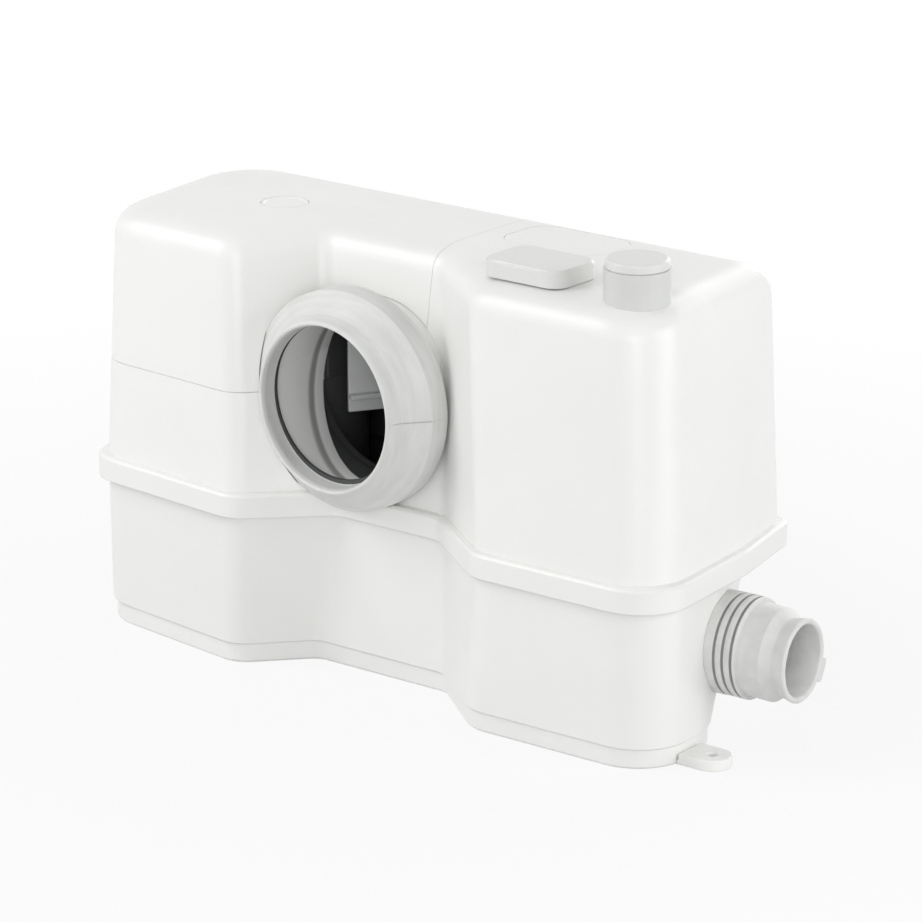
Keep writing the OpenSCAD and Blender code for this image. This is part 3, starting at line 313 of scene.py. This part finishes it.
# The can's draw lines run up it, the castings are evenly grey, ground steel has lines round it, the stacked
# laminations and the lacquered wire lie in layers, and nylon is a clean satin black.
drawn_steel = metal("drawn_steel", "#B9BDC2", "#A6AAAF", 0.36, 2.0, (1.0, 1.0, 0.08))
cast_aluminium = metal("cast_aluminium", "#B4B6B8", "#9C9EA0", 0.5, 1.5)
ground_stainless = metal("ground_stainless", "#C6C7C9", "#B0B2B4", 0.28, 1.2, (1.0, 1.0, 8.0))
lamination_steel = metal("lamination_steel", "#6A6B6E", "#47484B", 0.48, 0.9, (0.05, 0.05, 1.0))
enamelled_copper = metal("enamelled_copper", "#B8642E", "#8A431C", 0.34, 1.0, (0.2, 0.2, 1.0))
black_nylon = moulding("black_nylon", "#1F2022", "#27282A", 0.44, cloud_mm=12)
paint(drawn_steel, "motor_can")
paint(cast_aluminium, "motor_end_plate", "motor_flange")
paint(ground_stainless, "motor_bolts", "motor_shaft", "upper_bearing", "lower_bearing")
paint(lamination_steel, "stator_core", "rotor_core")
paint(enamelled_copper, "stator_windings")
paint(black_nylon, "cooling_fan")
paint(black_epdm, "shaft_seal")


# Pump: a casing of glass-filled polymer, bolted under the motor well, with a stainless impeller and a
# cutter whose blade turns in a slotted ring. The fibres show as a rough, speckled dark grey.
filled_polymer = moulding("filled_polymer", "#4A5056", "#3E4449", 0.5, cloud_mm=8, peel=0.15)
paint(filled_polymer, "pump_casing", "suction_plate")
paint(ground_stainless, "casing_bolts", "impeller", "cutter_ring", "cutter_blade", "blade_nut")


# Discharge: a pipe of grey polypropylene climbs the back to a valve body. A rubber flap swings there on a
# stainless pin, and a rubber sleeve with a clip takes the house's pipe under the hatch.
paint(grey_polypropylene, "discharge_pipe", "valve_body")
paint(black_epdm, "valve_flap", "outlet_sleeve")
paint(ground_stainless, "valve_pin", "outlet_clip")


# Control: a run capacitor in its clip, an open box with its board, and a pressure switch on the level tube.
# The switch and capacitor are of cream thermoset, the board is green laminate, the box a plain grey plastic.
cream_thermoset = moulding("cream_thermoset", "#D8D2BF", "#CEC7B2", 0.4, cloud_mm=10)
board_laminate = moulding("board_laminate", "#1D5A37", "#174A2D", 0.38, cloud_mm=6)
box_plastic = moulding("box_plastic", "#C9CCCB", "#C1C4C3", 0.42, cloud_mm=20)
paint(cream_thermoset, "capacitor", "pressure_switch", "switch_plunger")
paint(drawn_steel, "capacitor_clip")
paint(board_laminate, "control_board")
paint(box_plastic, "control_box")
paint(grey_polypropylene, "level_tube")
paint(black_epdm, "switch_diaphragm")


# Motor hood: a second moulding in the same plastic that drops over the motor and meets the tank in an open
# seam. Two screws and the cable gland are at the back, and a plain plug closes the hole over the shaft.
# Natural polypropylene again, milky and half matt, but without the painted shade inside.
natural_polypropylene = moulding("natural_polypropylene", "#F0F0EE", "#EAEAE8", 0.36, coat=0.08)
hood = welded("motor_cover")
# Its edges along the seams reach a little nearer to the tank, so that the seams are hairlines.
seam_z, seam_x, on_seam = 0.1776, 0.0377, 2e-5
reach_down, reach_right = 0.00045, 0.00015
for v in hood.verts:
    if abs(v.co.z - seam_z) < on_seam:
        v.co.z -= reach_down
    if abs(v.co.x - seam_x) < on_seam:
        v.co.x += reach_right
weigh(piece("motor_hood", hood, "unit", "hood_polypropylene", [natural_polypropylene], "motor_cover"))
weigh(piece("plug_disc", welded("shaft_plug", edge_mm=0.35), "plug", "hood_polypropylene",
            [natural_polypropylene], "shaft_plug"))
weigh(piece("hood_screws", welded("motor_cover_screws", edge_mm=0.2), "unit", "stainless_steel",
            [ground_stainless], "motor_cover_screws"))
weigh(piece("gland_body", welded("cable_gland", edge_mm=0.4), "unit", "black_nylon",
            [black_nylon], "cable_gland"))


# Inlet collar: a thick turned form in pale rubber, pushed over the tank's spigot. A band holds it at the
# back, a cone leads to a rolled mouth, and a lip inside seals on the toilet's outlet.
smooth_fold = 40


def turned(profile, place, steps, edge_mm, shaded_span=((0, 0), (0, 0))):
    """A bmesh of a profile of (radius, height) in mm spun about Z, rounded at its corners, then placed.
    Faces between the two (radius, height) corners of shaded_span take the second finish, a painted shade."""
    corner_fold = 12
    bm = bmesh.new()
    corners = [bm.verts.new((r / 1000, 0, h / 1000)) for r, h in profile]
    for a, b in zip(corners, corners[1:] + corners[:1]):
        bm.edges.new((a, b))
    bmesh.ops.spin(bm, geom=bm.verts[:] + bm.edges[:], cent=(0, 0, 0), axis=(0, 0, 1), angle=2 * math.pi,
                   steps=steps, use_merge=True)
    bmesh.ops.remove_doubles(bm, verts=bm.verts, dist=weld_gap)
    bmesh.ops.recalc_face_normals(bm, faces=bm.faces)
    rings = [e for e in bm.edges if e.calc_face_angle(0) > math.radians(corner_fold)]
    bmesh.ops.bevel(bm, geom=rings, offset=edge_mm / 1000, offset_type="OFFSET", affect="EDGES", segments=3,
                    profile=0.5, material=-1, clamp_overlap=True)
    for f in bm.faces:
        at = f.calc_center_median()
        spot = (math.hypot(at.x, at.y) * 1000, at.z * 1000)
        f.material_index = int(all(lo < c < hi for lo, c, hi in zip(shaded_span[0], spot, shaded_span[1])))
    bm.transform(place)
    soften(bm, smooth_fold)
    return bm


# The moulded rubber is chalky, a little mottled, and drawn out into faint rings; the lip's tip is painted
# dark as painted shade.
collar_rubber = rubber("collar_rubber", "#E6E7E5", "#C9CAC7", 0.5, rings=(0.35, 2.2, 0.35))
throat_painted_shade = rubber("throat_painted_shade", "#353636", "#404141", 0.7)
at_inlet = Matrix.Translation((0, 0, inlet_z)) @ Matrix.Rotation(math.radians(90), 4, "X")
collar_steps = 160
# The outline, in mm, runs from the seat round the band, the cone, the mouth and the lip. The lip's tip lies
# between the corners of one space, which takes the painted shade.
band_r, band_back, band_front = 70, 42.5, 57.5
seat_r, seat_front, bore_wall_r, mouth_r = 59, 56, 55, 51
lip_shade_space = ((47, 59), (50.7, 63.3))
band = [(seat_r, band_back), (band_r, band_back)]
cone = [(band_r, band_front), (68.4, 58.5), (57.3, 68.3), (55.6, 72)]
rolled_mouth = [(54.4, 74.2), (53, 75), (51.8, 74.4), (mouth_r, 72), (mouth_r, 63.4)]
lip = [(49.5, 62.8), (49.3, 60.6), (bore_wall_r, 58.5), (bore_wall_r, seat_front), (seat_r, seat_front)]
collar = turned(band + cone + rolled_mouth + lip, at_inlet, steps=collar_steps, edge_mm=0.6, shaded_span=lip_shade_space)
# Its inner sleeve lines the spigot's bore, cut off on the lean.
lining_in, lining_out, lining_back, lining_front = 54.1, 54.9, 9, 57
lining_end = (0, -0.0303, inlet_z)
lining = turned([(lining_in, lining_back), (lining_out, lining_back), (lining_out, lining_front),
                 (lining_in, lining_front)], at_inlet, steps=collar_steps, edge_mm=0.2)
bmesh.ops.bisect_plane(lining, geom=lining.verts[:] + lining.edges[:] + lining.faces[:],
                       plane_co=lining_end, plane_no=bore_lean, clear_outer=True)
bmesh.ops.bridge_loops(lining, edges=[e for e in lining.edges if e.is_boundary])
soften(lining, smooth_fold)
# The lining takes the bore's finish, with its painted shade further in.
for f in lining.faces:
    f.material_index = 2
lining_mesh = bpy.data.meshes.new("lining")
lining.to_mesh(lining_mesh)
lining.free()
# It is pressed against the wall of its niche at the left, and its inner lip hangs a little out of round.
niche_left, squeeze, squeeze_run = -0.030, 0.0005, 0.015
cone_root = 0.0578
lip_lift = Vector((-0.0011, 0, 0.0011))
lip_r, lip_front = (c / 1000 for c in lip_shade_space[1])
for v in collar.verts:
    off = math.hypot(v.co.x, v.co.z - inlet_z)
    if off < lip_r and v.co.y > -lip_front:
        v.co += lip_lift
    elif off > cone_root and v.co.x < niche_left:
        more = 1 + squeeze * min(1.0, (niche_left - v.co.x) / squeeze_run) / off
        v.co.x *= more
        v.co.z = inlet_z + (v.co.z - inlet_z) * more


def parting_line(bm, outline, place):
    """Adds the thin ridge that a two-part mould leaves on both sides, along (radius, height) in mm."""
    sunk_mm, proud_mm, width_mm = 0.2, 0.1, 0.7
    for side in (1, -1):
        skin = [((r - sunk_mm) * side / 1000, 0, h / 1000) for r, h in outline]
        raised = [((r + proud_mm) * side / 1000, 0, (h + sunk_mm + proud_mm) / 1000) for r, h in outline]
        flat = bm.faces.new([bm.verts.new(place @ Vector(c)) for c in skin + raised[::-1]])
        ridge = bmesh.ops.solidify(bm, geom=[flat], thickness=width_mm / 1000)["geom"]
        bmesh.ops.recalc_face_normals(bm, faces=[g for g in ridge if isinstance(g, bmesh.types.BMFace)])


collar.from_mesh(lining_mesh)
parting_line(collar, [(band_r, band_back + 0.6), (band_r, band_front - 0.1)] + cone[1:], at_inlet)
# The soft mouth stands out further at the right, from the band's front edge on.
cone_start, cone_length = 0.0585, 0.0165
mouth_half, mouth_lean = 0.055, 0.06
for v in collar.verts:
    along_cone = min(1.0, max(0.0, (-v.co.y - cone_start) / cone_length))
    v.co.y -= mouth_lean * (v.co.x + mouth_half) * along_cone
piece("collar_rubber", collar, "unit", "pale_rubber", [collar_rubber, throat_painted_shade, bore_shade_polypropylene],
      "inlet_collar")


# Side sleeve: the same rubber, turned with three grooves at the tank, two steps and a flared mouth for a
# waste pipe. It is pushed over the tank's spigot, and a pull tab is moulded on the mouth's flange.
# Here the rubber is chalky and mottled without rings, and the grooves are painted grey as painted shade.
pale_rubber = rubber("pale_rubber", "#E3E4E2", "#CBCCC9", 0.5)
groove_painted_shade = rubber("groove_painted_shade", "#B9BAB8", "#ABACAA", 0.7)
spigot_at, spigot_turn = Vector((0.250, 0.007, 0.060)), math.radians(6.5)
side_axis = (Matrix.Translation(spigot_at) @ Matrix.Rotation(spigot_turn, 4, "Z")
             @ Matrix.Rotation(math.radians(90), 4, "Y") @ Matrix.Translation((0, 0, -spigot_at.x)))
mouth, sleeve_length = 298.0, 55
seat = mouth - sleeve_length
spigot_r, rib_r, groove_r, half_groove = 25, 31.4, 28.8, 0.8
first_groove, groove_pitch = 44.7, 5.7
grooves = [mouth - first_groove + groove_pitch * k for k in range(3)]
# The grooves' walls slope, so each is a little wider at the top.
ribs = [(r, at + half_groove * way)
        for at in grooves for r, way in ((rib_r, -1.3), (groove_r, -1), (groove_r, 1), (rib_r, 1.1))]
# The rest is (radius, mm behind the mouth): two steps, the neck, the flange, and back along the bore.
free_end = [
    (rib_r, 31.8), (30.6, 31), (28.7, 31), (28.7, 16), (27.9, 15), (24.1, 9.8), (24.1, 8.6), (25.9, 1.8),
    (25.9, 1.1), (25.2, 0.3), (24.1, 0), (23.0, 0.3), (22.2, 1.3), (21, 8), (21, 19), (22, 22),
    (spigot_r, 22)]
groove_shade_space = ((28, grooves[0] - 2), (rib_r - 0.4, grooves[2] + 1))
sleeve = turned([(spigot_r, seat), (rib_r, seat)] + ribs + [(r, mouth - back) for r, back in free_end],
                side_axis, steps=128, edge_mm=0.35, shaded_span=groove_shade_space)
tab_back, tab_r, tab_turn, tab_round = 2.1, 0.0275, math.radians(-28), 0.0028
tab_at = (0, tab_r, (mouth - tab_back) / 1000)
tab_size = (0.015, 0.0062, 0.0026)
at_tab = side_axis @ Matrix.Rotation(tab_turn, 4, "Z") @ Matrix.Translation(tab_at)
tab = bmesh.ops.create_cube(sleeve, size=1.0, matrix=at_tab @ Matrix.Diagonal((*tab_size, 1)))["verts"]
upright = [e for e in sleeve.edges
           if all(v in tab for v in e.verts) and e.calc_length() < 1.1 * tab_size[2]]
bmesh.ops.bevel(sleeve, geom=upright, offset=tab_round, offset_type="OFFSET", affect="EDGES", segments=5,
                profile=0.5, material=-1)
# The free end droops a little under its own weight.
droop, droop_start = 0.0028, mouth - 40
to_sleeve = side_axis.inverted()
for v in sleeve.verts:
    free = (to_sleeve @ v.co).z * 1000 - droop_start
    v.co.z -= droop * max(0.0, free) / (mouth - droop_start)
piece("sleeve_rubber", sleeve, "unit", "pale_rubber", [pale_rubber, groove_painted_shade], "side_sleeve")


# Vent filter: a lid in smooth grey-white plastic lifts off a tray that hangs in the roof. The tray holds a
# block of active carbon, black and rough with grains, through which the tank breathes.
lid_plastic = moulding("lid_plastic", "#E0E0DE", "#DADAD8", 0.3, cloud_mm=30)
active_carbon = rubber("active_carbon", "#141415", "#232325", 0.85, grain_mm=2.0, bump=0.6)
weigh(piece("vent_lid", welded("filter_cap", edge_mm=0.9), "cap", "pale_grey_plastic",
            [lid_plastic], "filter_cap"))
paint(lid_plastic, "filter_frame")
paint(active_carbon, "carbon_filter")


# Stub: a closed spare connection that is moulded on the roof with the upper tank. Its lid is a disc of
# the same grey-white plastic as the filter's, pressed into the top.
weigh(piece("stub_disc", welded("stub_lid", edge_mm=0.5), "unit", "pale_grey_plastic",
            [lid_plastic], "stub_lid"))


# Outlet hatch: a flush panel at the back of the roof, over the discharge connection. It is moulded in the
# hood's plastic and lies on a ledge in the roof, so only its seam shows.
weigh(piece("hatch_panel", welded("outlet_hatch", edge_mm=0.4), "unit", "white_polypropylene",
            [natural_polypropylene], "outlet_hatch"))


# Stage: a pale floor and soft studio light from large panels. Seen directly the floor glows white, wholly so
# away from the object, and it keeps the object's shadow close to it.
white = (1, 1, 1, 1)
floor_half = 9
floor_grid = bmesh.new()
bmesh.ops.create_grid(floor_grid, x_segments=1, y_segments=1, size=floor_half)
floor_mesh = bpy.data.meshes.new("floor")
floor_grid.to_mesh(floor_mesh)
floor_grid.free()
floor = bpy.data.objects.new("floor", floor_mesh)
bpy.context.scene.collection.objects.link(floor)


def seen(tree):
    """1 for what the camera sees, straight or in gloss or glass, and 0 for what only lights the object."""
    rays = add(tree, "LightPath", {})
    direct = add(tree, "Math", {
        "operation": "MAXIMUM", 0: rays.outputs["Is Camera Ray"], 1: rays.outputs["Is Glossy Ray"]})
    return add(tree, "Math", {
        "operation": "MAXIMUM", 0: direct.outputs[0], 1: rays.outputs["Is Transmission Ray"]}).outputs[0]


# White paper: an even matt white that takes a soft shadow.
near_glow, glow_start, glow_end = 0.85, 0.30, 0.85
paper, tree, place = finish_named("white_paper")
away = add(tree, "VectorMath", {"operation": "LENGTH", 0: place})
spread = add(tree, "MapRange", {
    "Value": away.outputs["Value"], "From Min": glow_start, "From Max": glow_end,
    "To Min": near_glow, "To Max": 1.0})
share = add(tree, "Math", {"operation": "MULTIPLY", 0: spread.outputs[0], 1: seen(tree)})
matt = add(tree, "BsdfDiffuse", {"Color": linear("#DCDCDC")})
glow = add(tree, "Emission", {"Color": white, "Strength": 1.0})
ground = add(tree, "MixShader", {0: share.outputs[0], 1: matt.outputs[0], 2: glow.outputs[0]})
add(tree, "OutputMaterial", {"Surface": ground.outputs[0]})
floor_mesh.materials.append(paper)

ambient = 0.50
world = bpy.data.worlds.new("studio")
bpy.context.scene.world = world
world.use_nodes = True
air = world.node_tree
air.nodes.clear()
level = add(air, "MapRange", {"Value": seen(air), "To Min": ambient, "To Max": 1.0})
backdrop = add(air, "Background", {"Color": white, "Strength": level.outputs[0]})
add(air, "OutputWorld", {"Surface": backdrop.outputs[0]})


def aimed(name, data, at, aim):
    """Puts a lamp or a camera at a place, looking at a point."""
    made = bpy.data.objects.new(name, data)
    made.location = at
    made.rotation_euler = (Vector(aim) - Vector(at)).to_track_quat("-Z", "Y").to_euler()
    bpy.context.scene.collection.objects.link(made)
    return made


middle = (0.03, 0.0, 0.15)
for name, at, size, watts in (
        ("front_panel", (-0.9, -1.1, 1.0), 0.9, 6.6),
        ("inlet_panel", (1.6, -2.2, 0.9), 1.2, 19),
        ("side_panel", (2.2, 0.5, 0.75), 1.4, 17),
        ("edge_panel", (-1.3, -0.9, 1.7), 1.0, 9),
        ("back_panel", (-0.3, 2.4, 0.9), 1.6, 18)):
    lamp = bpy.data.lights.new(name, "AREA")
    lamp.size = size
    lamp.energy = watts
    aimed(name, lamp, at, middle)


# Camera: stands in front, to the right and above, at the photograph's viewing angle of about 38 degrees
# round and 17 degrees up. Its lens is long, so the edges run almost parallel.
focal_px, frame_px, sensor_mm = 5000, 922, 36.0
camera_at, camera_aim = (1.8871, -2.3142, 1.0521), (0.0733, -0.0340, 0.1502)
lens = bpy.data.cameras.new("photo_camera")
lens.sensor_width = sensor_mm
lens.lens = focal_px * sensor_mm / frame_px
lens.clip_end = 50
bpy.context.scene.camera = aimed("photo_camera", lens, camera_at, camera_aim)
bpy.context.scene.view_settings.view_transform = "Standard"
